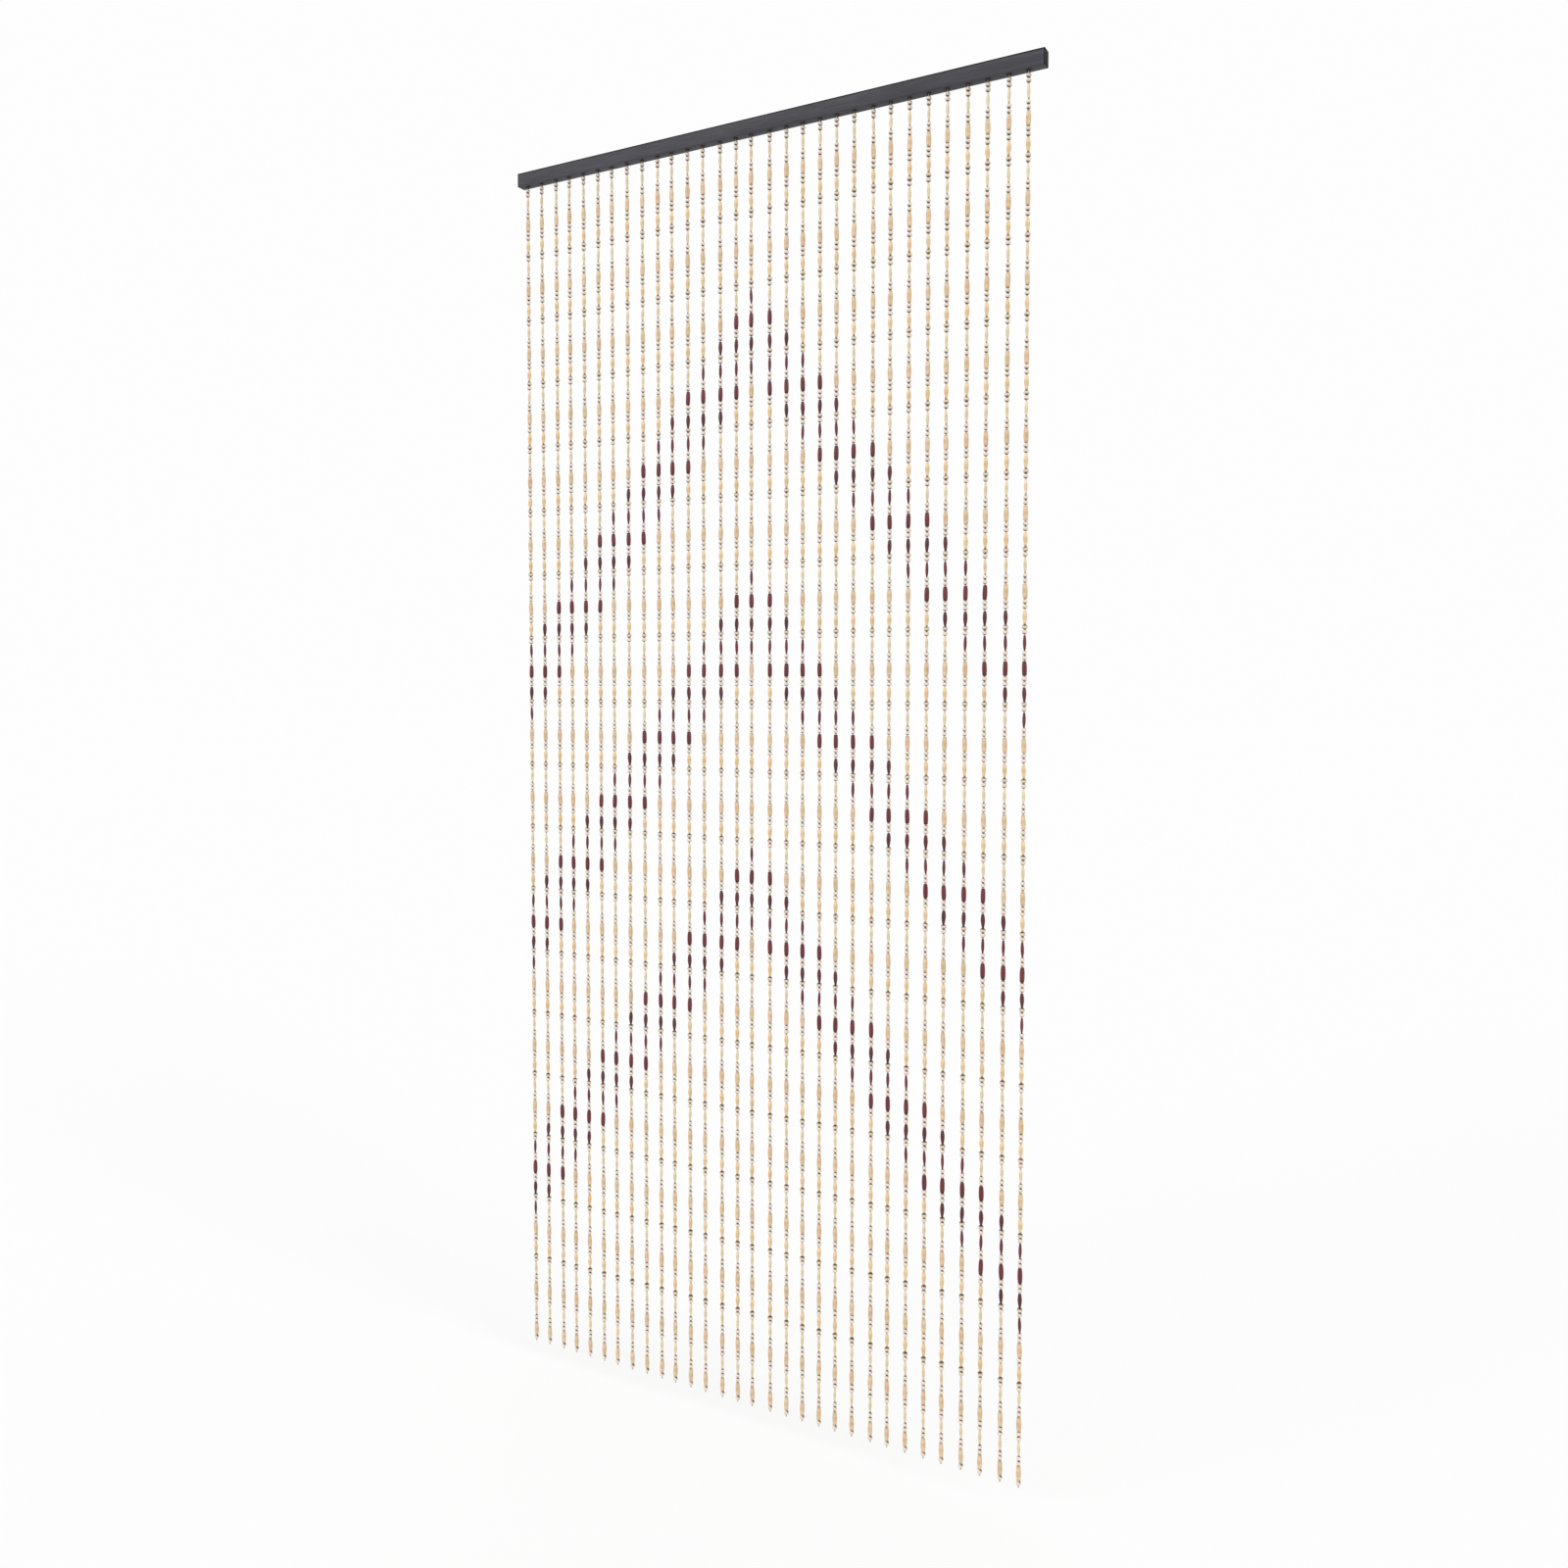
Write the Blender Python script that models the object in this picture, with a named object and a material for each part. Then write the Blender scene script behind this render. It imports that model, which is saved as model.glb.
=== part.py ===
"""A door curtain: thirty-one strands of beads that hang from a painted wooden rail.

Metres, +Z up. The origin is the middle of the rail's top face, +X runs along the rail and -Y faces
the room. Each strand is one four-sided solid, as thick all the way down as the beads threaded on it,
and its root is the wire eye that it is tied to.
"""
import random

import bmesh
import bpy
from mathutils import Vector

# The curtain as a whole
CURTAIN_WIDTH = 0.910
CURTAIN_DROP = 2.000

# The rail, a plain bar with eased edges
RAIL_DEPTH = 0.017
RAIL_HEIGHT = 0.022
RAIL_EASING = 0.0012

# The strands, hung a little unevenly along the middle of the rail's underside, and nearer to its
# left end than to its right one
STRAND_COUNT = 31
STRAND_SPREAD = 0.870
STRANDS_MIDDLE = -0.005
STRAND_UNEVENNESS = 0.0018
UNEVENNESS_SEED = 11

# The long beads on a strand, counted from the top
LONG_BEAD_COUNT = 55
LONG_BEAD_PITCH = 0.03571
FIRST_LONG_BEAD = 0.0500
BEAD_ORDER = ("tube", "cylinder", "barrel")
LAST_BEADS = ("tube", "cylinder")
TUBE_DIAMETER = 0.0048
CYLINDER_DIAMETER = 0.0067
CYLINDER_LENGTH = 0.0212

# The small round beads at both ends of a strand, and the knot that ends it
SMALL_BEAD_DIAMETER = 0.0076
SMALL_BEAD_LENGTH = 0.0067
KNOT_DIAMETER = 0.0026

# The wire eye that a strand is tied to, seated under the rail
SEAT_GAP = 0.0003
EYE_NECK_DIAMETER = 0.0024
EYE_RING_DIAMETER = 0.0068
EYE_DROP = 0.0037
EYE_FOOT_DIAMETER = 0.0030

# Colours, linear
CHARCOAL_PAINT = (0.048, 0.047, 0.055)
NATURAL_BEADS = (0.65, 0.50, 0.30)


def clear_scene():
    for old in list(bpy.data.objects):
        bpy.data.objects.remove(old, do_unlink=True)


def make_material(name, colour, roughness):
    material = bpy.data.materials.new(name)
    material.use_nodes = True
    shader = material.node_tree.nodes["Principled BSDF"]
    shader.inputs["Base Color"].default_value = (*colour, 1.0)
    shader.inputs["Roughness"].default_value = roughness
    shader.inputs["Metallic"].default_value = 0.0
    material.diffuse_color = (*colour, 1.0)
    return material


def add_object(name, mesh, material):
    if not mesh.materials:
        mesh.materials.append(material)
    made = bpy.data.objects.new(name, mesh)
    bpy.context.scene.collection.objects.link(made)
    return made


def make_rail(material):
    """The bar, with its top face on the origin's level."""
    shape = bmesh.new()
    bmesh.ops.create_cube(shape, size=1.0)
    bmesh.ops.scale(shape, vec=Vector((CURTAIN_WIDTH, RAIL_DEPTH, RAIL_HEIGHT)), verts=shape.verts)
    mesh = bpy.data.meshes.new("rail")
    shape.to_mesh(mesh)
    shape.free()
    rail = add_object("rail", mesh, material)
    rail.location = (0.0, 0.0, -RAIL_HEIGHT / 2)
    easing = rail.modifiers.new("eased edges", "BEVEL")
    easing.width = RAIL_EASING
    easing.segments = 1
    return rail


def long_bead_kind(index):
    """The beads repeat tube, cylinder, barrel, and each strand ends with a tube and a cylinder."""
    places_from_end = LONG_BEAD_COUNT - index
    if places_from_end <= len(LAST_BEADS):
        return LAST_BEADS[-places_from_end]
    return BEAD_ORDER[index % len(BEAD_ORDER)]


def strand_profile():
    """Pairs of depth below the rail's top and thickness there, from the eye to the knot.

    The stretch from a cylinder down to the next tube narrows evenly, which gives the barrel
    bead between them its thickness.
    """
    seat = RAIL_HEIGHT + SEAT_GAP
    foot = RAIL_HEIGHT + EYE_DROP
    profile = [
        (seat, EYE_NECK_DIAMETER),
        ((seat + foot) / 2, EYE_RING_DIAMETER),
        (foot, EYE_FOOT_DIAMETER),
        (foot + SMALL_BEAD_LENGTH / 2, SMALL_BEAD_DIAMETER),
    ]
    for index in range(LONG_BEAD_COUNT):
        centre = FIRST_LONG_BEAD + index * LONG_BEAD_PITCH
        kind = long_bead_kind(index)
        if kind == "tube":
            profile.append((centre, TUBE_DIAMETER))
        if kind == "cylinder":
            profile.append((centre - CYLINDER_LENGTH / 2, CYLINDER_DIAMETER))
            profile.append((centre + CYLINDER_LENGTH / 2, CYLINDER_DIAMETER))
    last_bead = profile[-1][0] + SMALL_BEAD_LENGTH / 2
    profile.append((last_bead, SMALL_BEAD_DIAMETER))
    profile.append((CURTAIN_DROP, KNOT_DIAMETER))
    return profile


def make_strand_mesh():
    """One closed four-sided solid round the profile, an edge to the front, back, left and right."""
    shape = bmesh.new()
    rings = []
    for depth, thickness in strand_profile():
        reach = thickness / 2
        corners = ((reach, 0.0), (0.0, reach), (-reach, 0.0), (0.0, -reach))
        rings.append([shape.verts.new((x, y, -depth)) for x, y in corners])
    sides = len(rings[0])
    for upper, lower in zip(rings, rings[1:]):
        for side in range(sides):
            following = (side + 1) % sides
            shape.faces.new((upper[side], lower[side], lower[following], upper[following]))
    shape.faces.new(rings[0])
    shape.faces.new(reversed(rings[-1]))
    mesh = bpy.data.meshes.new("strand")
    shape.to_mesh(mesh)
    shape.free()
    return mesh


def strand_places():
    """The strands' places along the rail: even steps, each nudged a little to one side."""
    nudges = random.Random(UNEVENNESS_SEED)
    step = STRAND_SPREAD / (STRAND_COUNT - 1)
    places = []
    for index in range(STRAND_COUNT):
        nudge = nudges.uniform(-STRAND_UNEVENNESS, STRAND_UNEVENNESS)
        if index in (0, STRAND_COUNT - 1):
            nudge = 0.0
        places.append(STRANDS_MIDDLE - STRAND_SPREAD / 2 + index * step + nudge)
    return places


def make_strands(material):
    mesh = make_strand_mesh()
    for number, place in enumerate(strand_places(), start=1):
        strand = add_object(f"strand_{number:02d}", mesh, material)
        strand.location = (place, 0.0, 0.0)


def build():
    clear_scene()
    make_rail(make_material("charcoal paint", CHARCOAL_PAINT, 0.55))
    make_strands(make_material("natural beads", NATURAL_BEADS, 0.5))


build()
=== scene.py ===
"""The looks of a door curtain: thirty-one strands of turned wooden beads under a painted rail.

Metres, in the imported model's frame: +X along the rail, -Y towards the room, +Z up. Each strand keeps
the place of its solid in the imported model. Its long beads, its small beads and the three V-shaped
bands of red beads are separate pieces, threaded by one Geometry Nodes tree.
"""

import math

import bmesh
import bpy
from mathutils import Matrix, Vector


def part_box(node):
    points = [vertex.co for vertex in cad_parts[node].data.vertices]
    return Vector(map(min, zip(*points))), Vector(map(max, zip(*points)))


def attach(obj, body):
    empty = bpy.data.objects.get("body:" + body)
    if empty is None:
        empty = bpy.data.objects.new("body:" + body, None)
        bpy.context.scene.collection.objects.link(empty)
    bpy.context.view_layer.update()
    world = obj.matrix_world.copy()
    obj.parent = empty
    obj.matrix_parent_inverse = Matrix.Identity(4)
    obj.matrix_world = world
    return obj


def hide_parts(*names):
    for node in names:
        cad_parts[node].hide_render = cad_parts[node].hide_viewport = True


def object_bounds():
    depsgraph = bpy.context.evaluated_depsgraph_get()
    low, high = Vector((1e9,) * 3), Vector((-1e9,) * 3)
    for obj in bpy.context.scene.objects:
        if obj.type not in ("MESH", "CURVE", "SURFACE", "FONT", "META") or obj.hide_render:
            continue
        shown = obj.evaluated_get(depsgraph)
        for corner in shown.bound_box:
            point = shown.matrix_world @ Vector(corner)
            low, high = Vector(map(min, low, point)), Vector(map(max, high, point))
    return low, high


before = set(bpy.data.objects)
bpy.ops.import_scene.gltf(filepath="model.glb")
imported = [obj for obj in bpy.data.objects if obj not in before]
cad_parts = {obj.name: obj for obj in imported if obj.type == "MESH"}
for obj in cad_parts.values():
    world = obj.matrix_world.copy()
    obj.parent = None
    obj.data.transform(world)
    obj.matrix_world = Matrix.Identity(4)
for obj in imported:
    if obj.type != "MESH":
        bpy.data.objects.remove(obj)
solid_low, solid_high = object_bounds()

BODY = "root"

# The strands, each at its solid's place
STRANDS = sorted(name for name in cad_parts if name.startswith("strand_"))
MIDDLE_STRAND = len(STRANDS) // 2
CURTAIN_FOOT = solid_low.z

# The long beads, by depth below the rail's top
LONG_BEAD_COUNT = 55
FIRST_LONG_BEAD = 0.0500
LONG_BEAD_PITCH = 0.03571
BEAD_ORDER = ("tube", "cylinder", "barrel")
LAST_BEADS = ("tube", "cylinder")

# How far a long bead hangs below its even place, and how far below that place the two small beads
# that follow it come, with their kinds
THREADING = {
    "tube": {"nudge": 0.0005, "small beads": ((0.0145, "slim"), (0.0214, "slim"))},
    "cylinder": {"nudge": 0.0004, "small beads": ((0.0147, "small"), (0.0217, "small"))},
    "barrel": {"nudge": 0.0007, "small beads": ((0.0142, "rimmed"), (0.0212, "small"))},
}

# The depths of the two small beads above the first long one
FIRST_SMALL_BEADS = (0.0290, 0.0358)

# Each kind is a number on the points that the beads are threaded at
KIND_NUMBERS = {"tube": 0, "cylinder": 1, "barrel": 2, "small": 3, "slim": 4, "rimmed": 5, "last": 6}

# The red bands: the first red bead on the middle strand, and how many red beads each strand has
BAND_STARTS = {"upper": 6, "middle": 18, "lower": 30}
BAND_BEADS = 4

# The turned shapes. An end is the bead's thickness there, fullness is how squarely its side meets
# that end, and crowding draws the rings towards both ends.
BEAD_SHAPES = {
    "tube": {
        "Length": 0.0212, "Width": 0.0048, "Sides": 8, "Rings": 8, "Crowding": 1.8,
        "Upper End": 0.0027, "Upper Fullness": 2.2, "Lower End": 0.0021, "Lower Fullness": 2.5,
    },
    "cylinder": {
        "Length": 0.0206, "Width": 0.0070, "Sides": 12, "Rings": 9, "Crowding": 2.4,
        "Upper End": 0.0052, "Upper Fullness": 5.0, "Lower End": 0.0056, "Lower Fullness": 9.0,
    },
    "barrel": {
        "Length": 0.0199, "Width": 0.0063, "Sides": 10, "Rings": 9, "Crowding": 1.8,
        "Upper End": 0.0038, "Upper Fullness": 2.8, "Lower End": 0.0030, "Lower Fullness": 1.4,
    },
    "small": {
        "Length": 0.0067, "Width": 0.0076, "Sides": 10, "Rings": 7, "Crowding": 1.5,
        "Upper End": 0.0026, "Upper Fullness": 2.2, "Lower End": 0.0026, "Lower Fullness": 2.2,
    },
    "rimmed": {
        "Length": 0.0067, "Width": 0.0083, "Sides": 10, "Rings": 7, "Crowding": 1.5,
        "Upper End": 0.0032, "Upper Fullness": 2.3, "Lower End": 0.0032, "Lower Fullness": 2.3,
    },
}
BEAD_SHAPES["slim"] = {**BEAD_SHAPES["small"], "Width": 0.0066}
BEAD_SHAPES["last"] = BEAD_SHAPES["small"]

# A bead leans along the rail, sways either way at random, and is a little thicker or thinner
LONG_BEAD_SWAY = math.radians(1.6)
SMALL_BEAD_SWAY = math.radians(6)
LEANS = {"small": math.radians(9), "slim": math.radians(9), "last": math.radians(32)}
BEAD_UNEVENNESS = 0.035

# Each kind of bead on each piece has random numbers of its own
SEEDS_PER_PIECE = 100
SEEDS_PER_KIND = 10

# Edges sharper than this are shaded as edges
SHARP_ANGLE = math.radians(50)

# The cord, its loop over the eye and its knot under the last bead
CORD_WIDTH = 0.0011
CORD_SIDES = 8
LOOP_GAP = 0.0001
LOOP_SIDES = 6
LOOP_ANGLES = [math.radians(degrees) for degrees in range(-90, 271, 30)]
KNOT_WIDTH = 0.0026
KNOT_SEGMENTS = 10
KNOT_RINGS = 7

# The wire eyes, whose ends reach up into the rail, and the collars round them
WIRE_WIDTH = 0.0016
WIRE_SIDES = 8
EYE_WIDTH = 0.0068
EYE_DROP = 0.0037
EYE_SEAT = 0.0012
EYE_STEPS = 12
EYE_ROUNDNESS = 0.7
COLLAR_WIDTH = 0.0074
COLLAR_HEIGHT = 0.0011
COLLAR_SEAT = 0.0003
COLLAR_SIDES = 20

# The rail's rounded edges, and how far the nearly black painted shade reaches from its ends and its top
RAIL_EDGE = 0.0009
RAIL_EDGE_STEPS = 3
PAINTED_SHADE_AT_ENDS = 0.0020
PAINTED_SHADE_AT_TOP = 0.0027
PAINTED_SHADE_FADE = 0.001

# The studio. A brightness of 1 makes a white surface that faces the light white.
FLOOR_GAP = 0.03
FLOOR_SIZE = 60.0
FLOOR_GLOW = 0.75
SUN_WIDTH = math.radians(25)
SUNS = {
    "left light": {"from": Vector((-0.50, -0.71, 0.50)), "brightness": 0.50},
    "right light": {"from": Vector((0.85, -0.16, 0.50)), "brightness": 0.44},
    "back light": {"from": Vector((-0.40, 0.75, 0.50)), "brightness": 0.16},
}
ROOM_BRIGHTNESS = 0.68
BACKDROP_BRIGHTNESS = 0.985
CAMERA_PLACE = (0.996, -1.739, -0.859)
CAMERA_YAW = -0.498
CAMERA_PITCH = -0.040
CAMERA_LENS = 29.73
CAMERA_SHIFT = -0.03


def rail_underside():
    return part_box("rail")[0].z


# Node trees. A socket goes by its number where several sockets of the node share a name.


def add_node(tree, kind, **settings):
    """A new node, with these attributes."""
    node = tree.nodes.new(kind)
    for name, value in settings.items():
        setattr(node, name, value)
    return node


def feed(tree, socket, value):
    """Links a socket to another node's output, or sets its value."""
    if isinstance(value, bpy.types.NodeSocket):
        tree.links.new(value, socket)
    else:
        socket.default_value = value


def maths(tree, operation, first, second=None):
    node = add_node(tree, "ShaderNodeMath", operation=operation)
    feed(tree, node.inputs[0], first)
    if second is not None:
        feed(tree, node.inputs[1], second)
    return node.outputs[0]


def between(tree, lowest, highest, seed):
    """A random number for each point, always the same for the same seed."""
    node = add_node(tree, "FunctionNodeRandomValue", data_type="FLOAT")
    feed(tree, node.inputs[2], lowest)
    feed(tree, node.inputs[3], highest)
    feed(tree, node.inputs["Seed"], seed)
    return node.outputs[1]


def combined(tree, x, y, z):
    node = add_node(tree, "ShaderNodeCombineXYZ")
    for socket, value in zip(node.inputs, (x, y, z)):
        feed(tree, socket, value)
    return node.outputs[0]


def stored(tree, geometry, name, value):
    node = add_node(tree, "GeometryNodeStoreNamedAttribute", data_type="FLOAT", domain="POINT")
    feed(tree, node.inputs["Geometry"], geometry)
    feed(tree, node.inputs["Name"], name)
    feed(tree, node.inputs["Value"], value)
    return node.outputs[0]


def new_tree(name, sockets):
    """A Geometry Nodes tree with these named inputs, and its input and output nodes."""
    tree = bpy.data.node_groups.new(name, "GeometryNodeTree")
    tree.interface.new_socket("Geometry", in_out="INPUT", socket_type="NodeSocketGeometry")
    for socket_name, socket_type in sockets:
        tree.interface.new_socket(socket_name, in_out="INPUT", socket_type=socket_type)
    tree.interface.new_socket("Geometry", in_out="OUTPUT", socket_type="NodeSocketGeometry")
    return tree, add_node(tree, "NodeGroupInput"), add_node(tree, "NodeGroupOutput")


def turned_bead(tree, given):
    """The mesh of one bead round the Z axis, with its place along the bead stored as along.

    along is 1 at the upper end and -1 at the lower end.
    """
    line = add_node(tree, "GeometryNodeCurvePrimitiveLine")
    rings = add_node(tree, "GeometryNodeResampleCurve", mode="COUNT")
    feed(tree, rings.inputs["Curve"], line.outputs[0])
    feed(tree, rings.inputs["Count"], given["Rings"])
    share = add_node(tree, "GeometryNodeSplineParameter").outputs["Factor"]
    even = maths(tree, "SUBTRACT", 1.0, maths(tree, "MULTIPLY", share, 2.0))
    inward = maths(tree, "SUBTRACT", 1.0, maths(tree, "ABSOLUTE", even))
    crowded = maths(tree, "SUBTRACT", 1.0, maths(tree, "POWER", inward, given["Crowding"]))
    along = maths(tree, "MULTIPLY", maths(tree, "SIGN", even), crowded)
    height = maths(tree, "MULTIPLY", along, maths(tree, "MULTIPLY", given["Length"], 0.5))
    placed = add_node(tree, "GeometryNodeSetPosition")
    feed(tree, placed.inputs["Geometry"], rings.outputs[0])
    feed(tree, placed.inputs["Position"], combined(tree, 0.0, 0.0, height))

    is_upper = maths(tree, "GREATER_THAN", along, 0.0)
    is_lower = maths(tree, "SUBTRACT", 1.0, is_upper)

    def by_half(name):
        upper = maths(tree, "MULTIPLY", given["Upper " + name], is_upper)
        lower = maths(tree, "MULTIPLY", given["Lower " + name], is_lower)
        return maths(tree, "ADD", upper, lower)

    end = by_half("End")
    drop = maths(tree, "POWER", maths(tree, "ABSOLUTE", along), by_half("Fullness"))
    bulge = maths(tree, "SQRT", maths(tree, "SUBTRACT", 1.0, drop))
    swell = maths(tree, "MULTIPLY", maths(tree, "SUBTRACT", given["Width"], end), bulge)
    reach = maths(tree, "MULTIPLY", maths(tree, "ADD", end, swell), 0.5)

    ring = add_node(tree, "GeometryNodeCurvePrimitiveCircle", mode="RADIUS")
    feed(tree, ring.inputs["Resolution"], given["Sides"])
    feed(tree, ring.inputs["Radius"], 1.0)
    skin = add_node(tree, "GeometryNodeCurveToMesh")
    feed(tree, skin.inputs["Curve"], stored(tree, placed.outputs[0], "along", along))
    feed(tree, skin.inputs["Profile Curve"], ring.outputs[0])
    feed(tree, skin.inputs["Scale"], reach)
    feed(tree, skin.inputs["Fill Caps"], True)
    return skin.outputs[0]


def bead_tree():
    """Threads a bead on each point of one kind, and passes all other geometry on."""
    tree, given, made = new_tree("thread beads", (
        ("Kind", "NodeSocketInt"),
        ("Length", "NodeSocketFloat"),
        ("Width", "NodeSocketFloat"),
        ("Upper End", "NodeSocketFloat"),
        ("Lower End", "NodeSocketFloat"),
        ("Upper Fullness", "NodeSocketFloat"),
        ("Lower Fullness", "NodeSocketFloat"),
        ("Crowding", "NodeSocketFloat"),
        ("Sides", "NodeSocketInt"),
        ("Rings", "NodeSocketInt"),
        ("Sway", "NodeSocketFloat"),
        ("Lean", "NodeSocketFloat"),
        ("Unevenness", "NodeSocketFloat"),
        ("Seed", "NodeSocketInt"),
        ("Material", "NodeSocketMaterial"),
    ))
    given = given.outputs
    kind = add_node(tree, "GeometryNodeInputNamedAttribute", data_type="INT")
    feed(tree, kind.inputs["Name"], "kind")
    chosen = add_node(tree, "FunctionNodeCompare", data_type="INT", operation="EQUAL")
    feed(tree, chosen.inputs[2], kind.outputs[0])
    feed(tree, chosen.inputs[3], given["Kind"])
    parted = add_node(tree, "GeometryNodeSeparateGeometry", domain="POINT")
    feed(tree, parted.inputs["Geometry"], given["Geometry"])
    feed(tree, parted.inputs["Selection"], chosen.outputs[0])

    seeds = [maths(tree, "ADD", given["Seed"], float(step)) for step in range(6)]
    toned = stored(tree, parted.outputs[0], "tone", between(tree, 0.0, 1.0, seeds[0]))
    tinted = stored(tree, toned, "tint", between(tree, 0.0, 1.0, seeds[1]))
    spun = add_node(tree, "FunctionNodeEulerToRotation")
    feed(tree, spun.inputs[0], combined(tree, 0.0, 0.0, between(tree, 0.0, math.tau, seeds[2])))
    back = maths(tree, "MULTIPLY", given["Sway"], -1.0)
    tilt_x = between(tree, back, given["Sway"], seeds[3])
    tilt_y = maths(tree, "ADD", given["Lean"], between(tree, back, given["Sway"], seeds[4]))
    tilted = add_node(tree, "FunctionNodeEulerToRotation")
    feed(tree, tilted.inputs[0], combined(tree, tilt_x, tilt_y, 0.0))
    turned = add_node(tree, "FunctionNodeRotateRotation", rotation_space="GLOBAL")
    feed(tree, turned.inputs["Rotation"], spun.outputs[0])
    feed(tree, turned.inputs["Rotate By"], tilted.outputs[0])
    thinner = maths(tree, "SUBTRACT", 1.0, given["Unevenness"])
    thicker = maths(tree, "ADD", 1.0, given["Unevenness"])
    size = between(tree, thinner, thicker, seeds[5])
    beads = add_node(tree, "GeometryNodeInstanceOnPoints")
    feed(tree, beads.inputs["Points"], tinted)
    feed(tree, beads.inputs["Instance"], turned_bead(tree, given))
    feed(tree, beads.inputs["Rotation"], turned.outputs[0])
    feed(tree, beads.inputs["Scale"], combined(tree, size, size, 1.0))
    real = add_node(tree, "GeometryNodeRealizeInstances")
    feed(tree, real.inputs[0], beads.outputs[0])
    dressed = add_node(tree, "GeometryNodeSetMaterial")
    feed(tree, dressed.inputs["Geometry"], real.outputs[0])
    feed(tree, dressed.inputs["Material"], given["Material"])
    joined = add_node(tree, "GeometryNodeJoinGeometry")
    feed(tree, joined.inputs[0], dressed.outputs[0])
    feed(tree, joined.inputs[0], parted.outputs[1])
    feed(tree, made.inputs[0], joined.outputs[0])
    return tree


def socket_ids(tree):
    return {
        item.name: item.identifier
        for item in tree.interface.items_tree
        if item.item_type == "SOCKET" and item.in_out == "INPUT"
    }


def add_tree(piece, tree, values):
    """Puts the tree on the piece as a modifier, with each named input set."""
    step = piece.modifiers.new(tree.name, "NODES")
    step.node_group = tree
    names = socket_ids(tree)
    for name, value in values.items():
        step[names[name]] = value


def add_object(name, mesh):
    made = bpy.data.objects.new(name, mesh)
    bpy.context.scene.collection.objects.link(made)
    return made


def as_plain_mesh(made):
    """Replaces an object and its modifiers by one plain mesh object of the same name."""
    seen = made.evaluated_get(bpy.context.evaluated_depsgraph_get())
    mesh = bpy.data.meshes.new_from_object(seen)
    name = made.name
    bpy.data.objects.remove(made, do_unlink=True)
    mesh.name = name
    return add_object(name, mesh)


def finish_piece(piece, slot, *nodes):
    """Shades a piece, puts it under its body's empty and hides the nodes that it replaces. slot is not
    used.
    """
    piece.data.shade_smooth()
    piece.data.set_sharp_from_angle(angle=SHARP_ANGLE)
    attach(piece, BODY)
    if nodes:
        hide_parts(*nodes)


# Materials


def new_material(name):
    material = bpy.data.materials.new(name)
    material.use_nodes = True
    return material, material.node_tree, material.node_tree.nodes["Principled BSDF"]


def ramp(tree, factor, stops):
    """A colour ramp. Each stop is a place from 0 to 1 and a linear colour or a grey."""
    node = add_node(tree, "ShaderNodeValToRGB")
    elements = node.color_ramp.elements
    while len(elements) < len(stops):
        elements.new(0.5)
    for element, (place, colour) in zip(elements, stops):
        element.position = place
        grey = isinstance(colour, (int, float))
        element.color = (colour, colour, colour, 1.0) if grey else (*colour, 1.0)
    feed(tree, node.inputs[0], factor)
    return node.outputs[0]


def mixed(tree, blend, factor, first, second):
    node = add_node(tree, "ShaderNodeMix", data_type="RGBA", blend_type=blend)
    feed(tree, node.inputs[0], factor)
    feed(tree, node.inputs[6], first)
    feed(tree, node.inputs[7], second)
    return node.outputs[2]


def attribute(tree, name):
    return add_node(tree, "ShaderNodeAttribute", attribute_name=name).outputs["Fac"]


def object_place(tree, scale=(1.0, 1.0, 1.0), offset=None):
    """Object coordinates, stretched, and moved by an offset that differs from bead to bead."""
    place = add_node(tree, "ShaderNodeTexCoord").outputs["Object"]
    stretch = add_node(tree, "ShaderNodeMapping")
    feed(tree, stretch.inputs["Vector"], place)
    stretch.inputs["Scale"].default_value = scale
    if offset is not None:
        feed(tree, stretch.inputs["Location"], combined(tree, offset, 0.0, offset))
    return stretch.outputs[0]


def noise(tree, place, scale, detail=2.0, roughness=0.5):
    node = add_node(tree, "ShaderNodeTexNoise")
    feed(tree, node.inputs["Vector"], place)
    feed(tree, node.inputs["Scale"], scale)
    feed(tree, node.inputs["Detail"], detail)
    feed(tree, node.inputs["Roughness"], roughness)
    return node.outputs["Fac"]


def bumped(tree, shader, height, distance):
    bump = add_node(tree, "ShaderNodeBump")
    bump.inputs["Distance"].default_value = distance
    feed(tree, bump.inputs["Height"], height)
    tree.links.new(bump.outputs[0], shader.inputs["Normal"])


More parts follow.
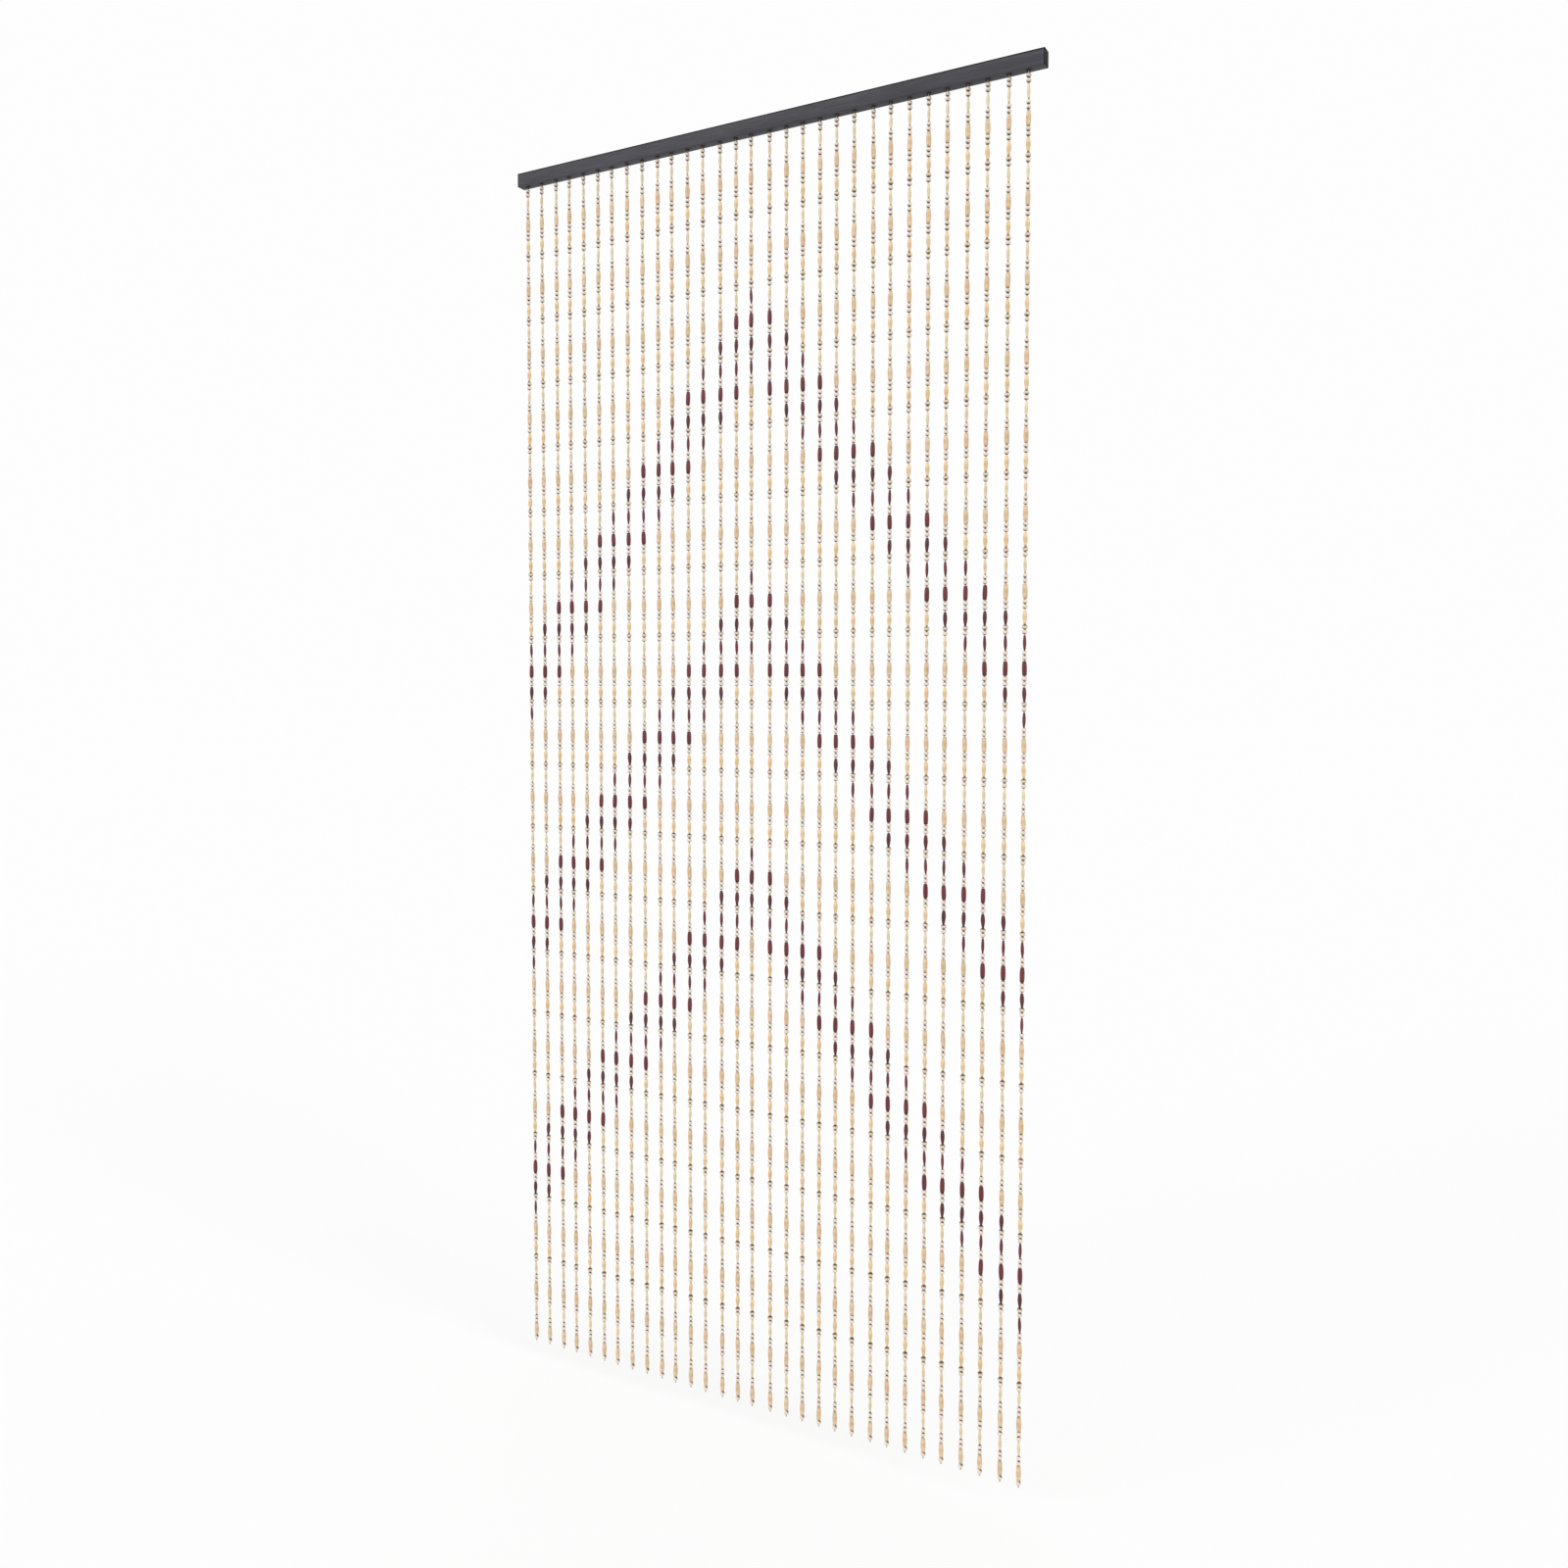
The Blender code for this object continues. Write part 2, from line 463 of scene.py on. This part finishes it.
def bead_wood(name, tones, tints, streaks, ends, roughness, coat):
    """Turned and lacquered wood.

    tones and tints are stops of colour that vary from bead to bead, the second multiplying the
    first. streaks is how dark the upright grain gets, and ends are stops of painted shade and painted
    highlight along the bead, from its lower end to its upper end: painted shade at the ends where
    the beads meet, and painted highlights near the shoulders of the long beads.
    """
    material, tree, shader = new_material(name)
    tone = attribute(tree, "tone")
    tint = attribute(tree, "tint")
    colour = mixed(tree, "MULTIPLY", 1.0, ramp(tree, tone, tones), ramp(tree, tint, tints))
    grain_place = object_place(tree, (1.0, 1.0, 0.07), maths(tree, "MULTIPLY", tone, 3.0))
    grain = noise(tree, grain_place, scale=1100.0, detail=3.0, roughness=0.6)
    lines = ramp(tree, grain, ((0.36, streaks), (0.47, 1.0), (0.60, 1.0), (0.68, 0.93)))
    colour = mixed(tree, "MULTIPLY", 1.0, colour, lines)
    cloud = noise(tree, object_place(tree), scale=260.0)
    colour = mixed(tree, "MULTIPLY", 1.0, colour, ramp(tree, cloud, ((0.3, 0.9), (0.7, 1.0))))
    # Painted shade at the ends where beads meet and painted highlights near the shoulders, laid on by
    # the place along the bead
    share = maths(tree, "MULTIPLY", maths(tree, "ADD", attribute(tree, "along"), 1.0), 0.5)
    colour = mixed(tree, "MULTIPLY", 1.0, colour, ramp(tree, share, ends))
    feed(tree, shader.inputs["Base Color"], colour)
    rough = ramp(tree, grain, ((0.3, roughness + 0.14), (0.6, roughness)))
    feed(tree, shader.inputs["Roughness"], rough)
    shader.inputs["Coat Weight"].default_value = coat
    shader.inputs["Coat Roughness"].default_value = 0.22
    bumped(tree, shader, grain, distance=0.00012)
    return material


def make_bead_materials():
    warm = ((0.0, (1.0, 0.96, 0.88)), (0.3, (1.0, 1.0, 1.0)), (0.9, (1.0, 0.98, 0.97)),
            (1.0, (1.0, 0.91, 0.87)))
    quiet = ((0.0, (0.97, 0.98, 0.94)), (0.5, (1.0, 1.0, 1.0)), (1.0, (1.0, 0.96, 0.96)))
    woods = {
        # The long beads' ends stops: painted shade at their tips, where they meet the small beads, and
        # painted highlights near their shoulders, with the body between them darker.
        "tube": bead_wood(
            "straw wood",
            ((0.0, (0.70, 0.567, 0.35)), (0.5, (0.74, 0.602, 0.387)), (1.0, (0.765, 0.622, 0.417))),
            quiet, streaks=0.84,
            ends=((0.0, 0.4), (0.02, 0.65), (0.04, 0.97), (0.15, 0.99), (0.3, 0.89), (0.68, 0.87),
                  (0.84, 0.98), (0.95, 1.0), (1.0, 0.95)),
            roughness=0.40, coat=0.2,
        ),
        "cylinder": bead_wood(
            "tan wood",
            ((0.0, (0.65, 0.464, 0.274)), (0.5, (0.69, 0.502, 0.309)), (1.0, (0.715, 0.527, 0.337))),
            warm, streaks=0.70,
            ends=((0.0, 0.75), (0.015, 0.90), (0.03, 1.0), (0.12, 1.0), (0.22, 0.96), (0.34, 0.88),
                  (0.66, 0.86), (0.8, 0.97), (0.97, 1.0), (1.0, 0.8)),
            roughness=0.44, coat=0.15,
        ),
        "barrel": bead_wood(
            "honey wood",
            ((0.0, (0.74, 0.517, 0.260)), (0.5, (0.775, 0.56, 0.306)), (1.0, (0.795, 0.59, 0.346))),
            warm, streaks=0.82,
            ends=((0.0, 0.40), (0.02, 0.65), (0.04, 0.96), (0.14, 0.98), (0.30, 0.85), (0.66, 0.835),
                  (0.82, 0.97), (0.96, 1.0), (1.0, 0.9)),
            roughness=0.40, coat=0.2,
        ),
        # The small beads' ends stops: painted shade on their lower and upper caps, where they meet
        # their neighbours, with the belly between them pale.
        "small": bead_wood(
            "pale wood",
            ((0.0, (0.695, 0.60, 0.47)), (0.5, (0.735, 0.62, 0.51)), (1.0, (0.755, 0.626, 0.53))),
            quiet, streaks=0.92,
            ends=((0.0, 0.12), (0.06, 0.14), (0.15, 0.54), (0.25, 1.0), (0.86, 1.0), (0.94, 0.55),
                  (1.0, 0.08)),
            roughness=0.36, coat=0.25,
        ),
        # The first small bead under a barrel: painted shade on both caps, stronger than on the other
        # small beads, under the barrel above and where it meets the bead below; its tones are darker
        # all over than the other small beads'.
        "rimmed": bead_wood(
            "pale wood with painted shade at its ends",
            ((0.0, (0.67, 0.535, 0.38)), (0.5, (0.70, 0.555, 0.41)), (1.0, (0.72, 0.565, 0.435))),
            quiet, streaks=0.88,
            ends=((0.0, 0.12), (0.06, 0.16), (0.18, 0.66), (0.3, 1.0), (0.7, 1.0), (0.83, 0.45),
                  (0.92, 0.12), (1.0, 0.06)),
            roughness=0.36, coat=0.25,
        ),
    }
    woods["slim"] = woods["last"] = woods["small"]
    return woods


def make_red_materials():
    even = ((0.0, (0.97, 0.98, 0.98)), (1.0, (1.0, 1.0, 1.0)))
    # Painted shade at both ends of each red bead, where it meets the next bead.
    ends = ((0.0, 0.4), (0.04, 0.75), (0.08, 1.0), (0.95, 1.0), (1.0, 0.7))
    wine = bead_wood(
        "wine wood",
        ((0.0, (0.117, 0.009, 0.015)), (0.5, (0.130, 0.011, 0.017)), (1.0, (0.149, 0.016, 0.022))),
        even, streaks=0.70, ends=ends, roughness=0.50, coat=0.0,
    )
    dark_wine = bead_wood(
        "dark wine wood",
        ((0.0, (0.081, 0.008, 0.010)), (0.5, (0.092, 0.011, 0.013)), (1.0, (0.107, 0.014, 0.017))),
        even, streaks=0.70, ends=ends, roughness=0.50, coat=0.0,
    )
    return {"tube": wine, "cylinder": wine, "barrel": dark_wine}


def make_cord_material():
    material, tree, shader = new_material("natural cord")
    twist = noise(tree, object_place(tree, (1.0, 1.0, 2.5)), scale=1800.0, detail=3.0)
    feed(tree, shader.inputs["Base Color"],
         ramp(tree, twist, ((0.3, (0.34, 0.27, 0.18)), (0.7, (0.62, 0.54, 0.40)))))
    shader.inputs["Roughness"].default_value = 0.85
    bumped(tree, shader, twist, distance=0.0002)
    return material


def make_wire_material():
    material, tree, shader = new_material("black lacquered wire")
    wear = noise(tree, object_place(tree), scale=700.0, detail=3.0)
    feed(tree, shader.inputs["Base Color"],
         ramp(tree, wear, ((0.4, (0.010, 0.009, 0.008)), (0.75, (0.030, 0.026, 0.022)))))
    feed(tree, shader.inputs["Roughness"], ramp(tree, wear, ((0.3, 0.34), (0.7, 0.55))))
    bumped(tree, shader, wear, distance=0.00005)
    return material


def make_rail_material():
    """Charcoal paint over planed wood: long faint grain and soft clouds, with nearly black painted
    shade darkening the ends and the top edges.
    """
    material, tree, shader = new_material("charcoal paint")
    long_grain = object_place(tree, (0.035, 1.0, 1.0))
    grain = noise(tree, long_grain, scale=900.0, detail=5.0, roughness=0.62)
    broad = noise(tree, object_place(tree, (0.12, 1.0, 1.0)), scale=60.0, detail=3.0)
    paint = ramp(tree, grain, ((0.3, (0.0540, 0.0530, 0.0620)), (0.7, (0.0750, 0.0730, 0.0860))))
    paint = mixed(tree, "MULTIPLY", 1.0, paint, ramp(tree, broad, ((0.3, 0.72), (0.7, 1.0))))
    # Nearly black painted shade on the rail's ends and along its top edges
    apart = add_node(tree, "ShaderNodeSeparateXYZ")
    feed(tree, apart.inputs[0], add_node(tree, "ShaderNodeTexCoord").outputs["Object"])
    from_middle = maths(tree, "ABSOLUTE", apart.outputs["X"])
    past_end = maths(tree, "SUBTRACT", from_middle, solid_high.x - PAINTED_SHADE_AT_ENDS)
    past_top = maths(tree, "SUBTRACT", apart.outputs["Z"], solid_high.z - PAINTED_SHADE_AT_TOP)
    past = maths(tree, "MULTIPLY", maths(tree, "MAXIMUM", past_end, past_top), 1 / PAINTED_SHADE_FADE)
    edge = ramp(tree, past, ((0.0, 0.0), (1.0, 1.0)))
    paint = mixed(tree, "MIX", edge, paint, (0.010, 0.010, 0.011, 1.0))
    feed(tree, shader.inputs["Base Color"], paint)
    feed(tree, shader.inputs["Roughness"], ramp(tree, grain, ((0.3, 0.66), (0.7, 0.52))))
    shader.inputs["Specular IOR Level"].default_value = 0.12
    bumped(tree, shader, grain, distance=0.00025)
    return material


# Threading


def long_bead_kind(index):
    from_end = LONG_BEAD_COUNT - index
    if from_end <= len(LAST_BEADS):
        return LAST_BEADS[-from_end]
    return BEAD_ORDER[index % len(BEAD_ORDER)]


def red_band(strand, index):
    """The band that this long bead belongs to, or None for a natural one."""
    step = abs(strand - MIDDLE_STRAND)
    for band, start in BAND_STARTS.items():
        if start + step <= index < start + step + BAND_BEADS:
            return band
    return None


def strand_line(name):
    low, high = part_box(name)
    return (low.x + high.x) / 2, (low.y + high.y) / 2


def even_place(index):
    """The depth of a long bead's even place below the rail's top."""
    return FIRST_LONG_BEAD + index * LONG_BEAD_PITCH


def small_beads():
    """Pairs of depth and kind: two before the first long bead, two after each, one after the last.

    The one after the last long bead rests on the knot and leans.
    """
    beads = [(depth, "small") for depth in FIRST_SMALL_BEADS]
    for index in range(LONG_BEAD_COUNT):
        for below, kind in THREADING[long_bead_kind(index)]["small beads"]:
            beads.append((even_place(index) + below, kind))
    last_depth, _ = beads[-2]
    return [*beads[:-2], (last_depth, "last")]


def threaded(name, beads, tree, materials, seed):
    """Beads threaded at their places. Each is a place in the curtain and a kind."""
    mesh = bpy.data.meshes.new(name)
    mesh.from_pydata([place for place, kind in beads], [], [])
    kinds = mesh.attributes.new("kind", "INT", "POINT")
    kinds.data.foreach_set("value", [KIND_NUMBERS[kind] for place, kind in beads])
    piece = add_object(name, mesh)
    for kind in sorted({kind for place, kind in beads}, key=KIND_NUMBERS.get):
        add_tree(piece, tree, {
            **BEAD_SHAPES[kind],
            "Kind": KIND_NUMBERS[kind],
            "Sway": LONG_BEAD_SWAY if kind in BEAD_ORDER else SMALL_BEAD_SWAY,
            "Lean": LEANS.get(kind, 0.0),
            "Unevenness": BEAD_UNEVENNESS,
            "Seed": seed * SEEDS_PER_PIECE + KIND_NUMBERS[kind] * SEEDS_PER_KIND,
            "Material": materials[kind],
        })
    return as_plain_mesh(piece)


def make_strands(materials, red):
    tree = bead_tree()
    bands = {band: [] for band in BAND_STARTS}
    for number, strand in enumerate(STRANDS):
        x, y = strand_line(strand)
        natural = []
        for index in range(LONG_BEAD_COUNT):
            kind = long_bead_kind(index)
            place = (x, y, -even_place(index) - THREADING[kind]["nudge"])
            bands.get(red_band(number, index), natural).append((place, kind))
        label = strand.removeprefix("strand_")
        long_beads = threaded(f"long_beads_{label}", natural, tree, materials, number + 1)
        finish_piece(long_beads, "natural_beads", strand)
        small = [((x, y, -depth), kind) for depth, kind in small_beads()]
        round_beads = threaded(f"small_beads_{label}", small, tree, materials, number + 1)
        finish_piece(round_beads, "small_beads", strand)
    for number, (band, beads) in enumerate(bands.items(), start=len(STRANDS) + 1):
        finish_piece(threaded(f"red_band_{band}", beads, tree, red, number), "red_beads")


# Cords, knots and eyes


def add_tube(shape, path, width, sides):
    """A closed round tube along a path, with flat ends."""
    rings = []
    for index, point in enumerate(path):
        before = path[max(index - 1, 0)]
        after = path[min(index + 1, len(path) - 1)]
        turn = (after - before).to_track_quat("Z", "Y")
        ring = []
        for side in range(sides):
            angle = math.tau * side / sides
            offset = Vector((math.cos(angle), math.sin(angle), 0.0)) * (width / 2)
            ring.append(shape.verts.new(point + turn @ offset))
        rings.append(ring)
    for lower, upper in zip(rings, rings[1:]):
        for side in range(sides):
            following = (side + 1) % sides
            shape.faces.new((lower[side], lower[following], upper[following], upper[side]))
    shape.faces.new(reversed(rings[0]))
    shape.faces.new(rings[-1])


def add_knot(shape, centre):
    bmesh.ops.create_uvsphere(
        shape, u_segments=KNOT_SEGMENTS, v_segments=KNOT_RINGS, radius=KNOT_WIDTH / 2,
        matrix=Matrix.Translation(centre),
    )


def piece_from(shape, name, material):
    bmesh.ops.recalc_face_normals(shape, faces=shape.faces)
    mesh = bpy.data.meshes.new(name)
    shape.to_mesh(mesh)
    shape.free()
    mesh.materials.append(material)
    return add_object(name, mesh)


def make_cords(material):
    """A cord down each strand, looped over its eye and knotted under the last bead."""
    shape = bmesh.new()
    wire = rail_underside() - EYE_DROP + WIRE_WIDTH / 2
    knot = CURTAIN_FOOT + KNOT_WIDTH / 2
    loop_reach = (WIRE_WIDTH + CORD_WIDTH) / 2 + LOOP_GAP
    for strand in STRANDS:
        x, y = strand_line(strand)
        top = Vector((x, y, wire - loop_reach))
        add_tube(shape, [top, Vector((x, y, knot))], CORD_WIDTH, CORD_SIDES)
        add_knot(shape, Vector((x, y, knot)))
        loop = [
            Vector((x, y + loop_reach * math.cos(angle), wire + loop_reach * math.sin(angle)))
            for angle in LOOP_ANGLES
        ]
        add_tube(shape, loop, CORD_WIDTH, LOOP_SIDES)
    finish_piece(piece_from(shape, "cords", material), "cord")


def make_eyes(material):
    """A loop of black wire under the rail for each strand, in a small round collar."""
    shape = bmesh.new()
    under = rail_underside()
    reach = (EYE_WIDTH - WIRE_WIDTH) / 2
    drop = EYE_DROP - WIRE_WIDTH / 2
    for strand in STRANDS:
        x, y = strand_line(strand)
        path = [Vector((x - reach, y, under + EYE_SEAT))]
        for step in range(EYE_STEPS + 1):
            angle = math.pi * step / EYE_STEPS
            sag = drop * math.sin(angle) ** EYE_ROUNDNESS
            path.append(Vector((x - reach * math.cos(angle), y, under - sag)))
        path.append(Vector((x + reach, y, under + EYE_SEAT)))
        add_tube(shape, path, WIRE_WIDTH, WIRE_SIDES)
        collar = [Vector((x, y, under + COLLAR_SEAT - depth)) for depth in (0.0, COLLAR_HEIGHT)]
        add_tube(shape, collar, COLLAR_WIDTH, COLLAR_SIDES)
    finish_piece(piece_from(shape, "wire_eyes", material), "eye_metal")


def make_rail(material):
    low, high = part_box("rail")
    shape = bmesh.new()
    bmesh.ops.create_cube(shape, size=1.0)
    bmesh.ops.scale(shape, vec=high - low, verts=shape.verts)
    bmesh.ops.translate(shape, vec=(low + high) / 2, verts=shape.verts)
    bmesh.ops.bevel(
        shape, geom=shape.edges, offset=RAIL_EDGE, offset_type="OFFSET", segments=RAIL_EDGE_STEPS,
        profile=0.5, affect="EDGES", clamp_overlap=True,
    )
    finish_piece(piece_from(shape, "painted_rail", material), "rail_paint", "rail")


# The studio


def floor_paint():
    """The grey that makes the glowing floor as bright as the backdrop, so that no horizon shows."""
    falling = sum(sun["brightness"] * sun["from"].normalized().z for sun in SUNS.values())
    return BACKDROP_BRIGHTNESS * (1.0 - FLOOR_GLOW) / (ROOM_BRIGHTNESS + falling)


def make_floor():
    half = FLOOR_SIZE / 2
    level = solid_low.z - FLOOR_GAP
    mesh = bpy.data.meshes.new("floor")
    corners = [(-half, -half, level), (half, -half, level), (half, half, level), (-half, half, level)]
    mesh.from_pydata(corners, [], [(0, 1, 2, 3)])
    material, _, shader = new_material("pale floor")
    grey = floor_paint()
    shader.inputs["Base Color"].default_value = (grey, grey, grey, 1.0)
    shader.inputs["Emission Color"].default_value = (1.0, 1.0, 1.0, 1.0)
    shader.inputs["Emission Strength"].default_value = BACKDROP_BRIGHTNESS * FLOOR_GLOW
    shader.inputs["Roughness"].default_value = 1.0
    shader.inputs["Specular IOR Level"].default_value = 0.0
    mesh.materials.append(material)
    add_object("floor", mesh)


def add_sun(name, origin, brightness):
    """A wide soft light from far away."""
    data = bpy.data.lights.new(name, "SUN")
    data.energy = brightness * math.pi
    data.angle = SUN_WIDTH
    lamp = bpy.data.objects.new(name, data)
    lamp.rotation_euler = (-origin).to_track_quat("-Z", "Y").to_euler()
    bpy.context.scene.collection.objects.link(lamp)


def make_lights():
    """Soft light from the left and from the right, a weak one from behind, and even light all round."""
    for name, sun in SUNS.items():
        add_sun(name, sun["from"], sun["brightness"])
    world = bpy.data.worlds.new("studio")
    world.use_nodes = True
    tree = world.node_tree
    soft = tree.nodes["Background"]
    soft.inputs["Color"].default_value = (1.0, 1.0, 1.0, 1.0)
    soft.inputs["Strength"].default_value = ROOM_BRIGHTNESS
    seen = add_node(tree, "ShaderNodeBackground")
    seen.inputs["Color"].default_value = (1.0, 1.0, 1.0, 1.0)
    seen.inputs["Strength"].default_value = BACKDROP_BRIGHTNESS
    choice = add_node(tree, "ShaderNodeMixShader")
    feed(tree, choice.inputs[0], add_node(tree, "ShaderNodeLightPath").outputs["Is Camera Ray"])
    tree.links.new(soft.outputs[0], choice.inputs[1])
    tree.links.new(seen.outputs[0], choice.inputs[2])
    tree.links.new(choice.outputs[0], tree.nodes["World Output"].inputs["Surface"])
    bpy.context.scene.world = world
    bpy.context.scene.view_settings.view_transform = "Standard"


def make_camera():
    data = bpy.data.cameras.new("camera")
    data.sensor_width = 36.0
    data.lens = CAMERA_LENS
    data.shift_y = CAMERA_SHIFT
    data.clip_end = 100.0
    camera = bpy.data.objects.new("camera", data)
    camera.location = CAMERA_PLACE
    camera.rotation_euler = (math.pi / 2 + CAMERA_PITCH, 0.0, -CAMERA_YAW)
    bpy.context.scene.collection.objects.link(camera)
    bpy.context.scene.camera = camera


make_camera()
make_strands(make_bead_materials(), make_red_materials())
make_cords(make_cord_material())
make_eyes(make_wire_material())
make_rail(make_rail_material())
make_floor()
make_lights()
